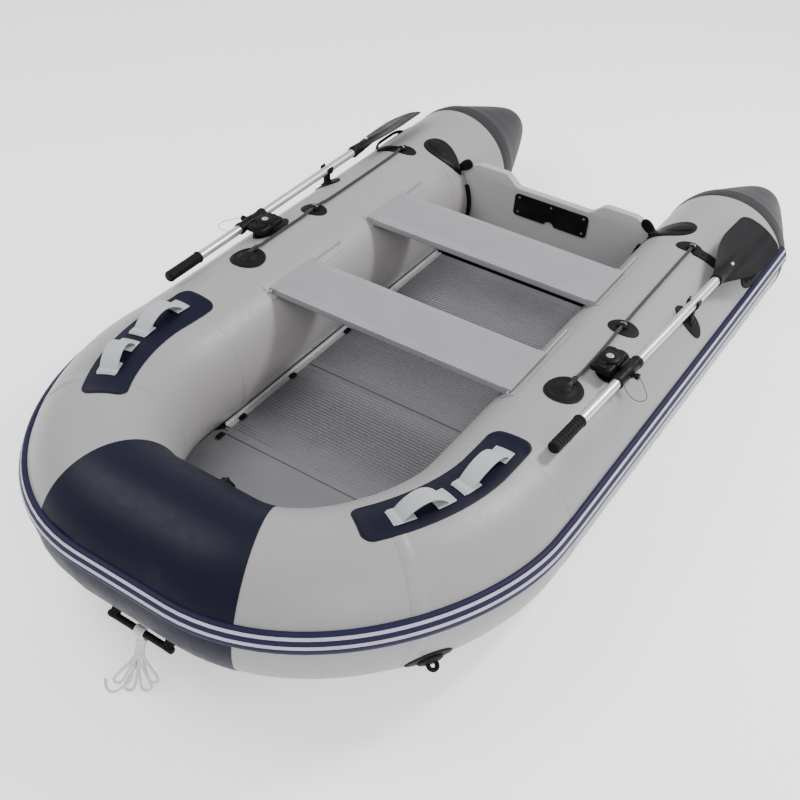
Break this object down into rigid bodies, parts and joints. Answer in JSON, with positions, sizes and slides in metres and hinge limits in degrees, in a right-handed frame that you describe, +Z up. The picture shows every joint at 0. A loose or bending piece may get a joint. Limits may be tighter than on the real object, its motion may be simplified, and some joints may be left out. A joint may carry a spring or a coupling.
{
  "type": "inflatable dinghy",
  "caption": "Soft-tailed inflatable rowing and motor dinghy with a rising bow, aluminium slat floor, painted transom, sliding benches and oars on swivelling rowlocks.",
  "frame": {"origin": "middle of the boat's length and beam, on the surface it stands on", "axes": "+Z up, -Y towards the bow, +X to port"},
  "size_m": [1.5175, 2.8578, 0.4875],
  "materials": {
    "tube_fabric": "satin coated fabric",
    "nose_fabric": "satin coated fabric",
    "cone_plastic": "matt moulding",
    "rail_rubber": "matt rubber",
    "stripe_rubber": "matt rubber",
    "transom_board": "plywood under satin grey paint",
    "black_plastic": "moulded, satin",
    "fitting_rubber": "moulded, satin",
    "steel": "stainless",
    "floor_aluminium": "satin anodised",
    "bench_aluminium": "grey paint",
    "webbing": "woven webbing",
    "lifeline_rope": "braided",
    "painter_rope": "braided"
  },
  "bodies": {
    "hull": {"port_side_tube": "tube_fabric", "starboard_side_tube": "tube_fabric", "port_bow_tube": "tube_fabric", "starboard_bow_tube": "tube_fabric", "bow_tube": "nose_fabric", "stern_cones": "cone_plastic", "chamber_baffles": "tube_fabric", "hull_bottom": "tube_fabric", "keel_tube": "tube_fabric", "rub_rail": "rail_rubber", "rail_stripes": "stripe_rubber", "transom_board": "transom_board", "transom_inner_plate": "black_plastic", "transom_outer_plate": "black_plastic", "transom_brackets": "black_plastic", "transom_screws": "steel", "transom_corner_strips": "black_plastic", "drain_fitting": "black_plastic", "bow_floor_plate": "floor_aluminium", "floor_panels": "floor_aluminium", "floor_joiners": "floor_aluminium", "side_stringers": "floor_aluminium", "floor_clips": "black_plastic", "floor_end_seal": "black_plastic", "bench_rails": "floor_aluminium", "handle_patches": "nose_fabric", "webbing_handles": "webbing", "lifeline_eyes": "fitting_rubber", "lifelines": "lifeline_rope", "rowlock_bases": "fitting_rubber", "oar_clips": "fitting_rubber", "stern_handles": "fitting_rubber", "tow_eyes": "fitting_rubber", "bow_handle": "fitting_rubber", "painter_rope": "painter_rope", "painter_hank": "painter_rope", "valve_bodies": "black_plastic"},
    "front_bench": {"front_bench": "bench_aluminium", "front_bench_ends": "bench_aluminium"},
    "rear_bench": {"rear_bench": "bench_aluminium", "rear_bench_ends": "bench_aluminium"},
    "port_swivel": {"port_swivel": "black_plastic"},
    "port_oar": {"port_oar_shaft": "floor_aluminium", "port_oar_grip": "black_plastic", "port_oar_blade": "black_plastic", "port_oar_collar": "black_plastic", "port_thole_pin": "steel", "port_pin_lanyard": "steel"},
    "starboard_swivel": {"starboard_swivel": "black_plastic"},
    "starboard_oar": {"starboard_oar_shaft": "floor_aluminium", "starboard_oar_grip": "black_plastic", "starboard_oar_blade": "black_plastic", "starboard_oar_collar": "black_plastic", "starboard_thole_pin": "steel", "starboard_pin_lanyard": "steel"},
    "drain_plug": {"drain_plug": "black_plastic"},
    "port_valve_cap": {"port_valve_cap": "black_plastic"},
    "starboard_valve_cap": {"starboard_valve_cap": "black_plastic"},
    "bow_valve_cap": {"bow_valve_cap": "black_plastic"}
  },
  "joints": [
    {"name": "front_bench_slide", "type": "slide", "parent": "hull", "child": "front_bench", "axis": [0, 1, 0], "range_m": [-0.01, 0.13]},
    {"name": "rear_bench_slide", "type": "slide", "parent": "hull", "child": "rear_bench", "axis": [0, 1, 0], "range_m": [0, 0.11]},
    {"name": "port_oar_swing", "type": "hinge", "parent": "hull", "child": "port_swivel", "pos_m": [0.59, -0.122, 0.434], "axis": [0, 0, -1], "range_deg": [0, 90]},
    {"name": "starboard_oar_swing", "type": "hinge", "parent": "hull", "child": "starboard_swivel", "pos_m": [-0.59, -0.122, 0.434], "axis": [0, 0, 1], "range_deg": [0, 90]},
    {"name": "port_oar_tilt", "type": "hinge", "parent": "port_swivel", "child": "port_oar", "pos_m": [0.64592, -0.12493, 0.434], "axis": [-0.9986, 0.0523, 0], "range_deg": [0, 22.5]},
    {"name": "starboard_oar_tilt", "type": "hinge", "parent": "starboard_swivel", "child": "starboard_oar", "pos_m": [-0.64599, -0.12298, 0.434], "axis": [-0.9998, -0.0175, 0], "range_deg": [0, 22.5]},
    {"name": "drain_plug_pull", "type": "slide", "parent": "hull", "child": "drain_plug", "axis": [0, -0.9976, 0.0698], "range_m": [0, 0.04]},
    {"name": "port_valve_cap_turn", "type": "hinge", "parent": "hull", "child": "port_valve_cap", "pos_m": [0.3248, 0.46, 0.24654], "axis": [-0.9848, 0, 0.1736], "range_deg": [0, 90]},
    {"name": "starboard_valve_cap_turn", "type": "hinge", "parent": "hull", "child": "starboard_valve_cap", "pos_m": [-0.3248, 0.46, 0.24654], "axis": [0.9848, 0, 0.1736], "range_deg": [0, 90]},
    {"name": "bow_valve_cap_turn", "type": "hinge", "parent": "hull", "child": "bow_valve_cap", "pos_m": [0, -1.01646, 0.34698], "axis": [0, 0.9397, 0.342], "range_deg": [0, 90]}
  ],
  "couplings": [
    {"joint": "port_oar_tilt", "follows": "port_oar_swing", "ratio": 0.25},
    {"joint": "starboard_oar_tilt", "follows": "starboard_oar_swing", "ratio": 0.25}
  ]
}
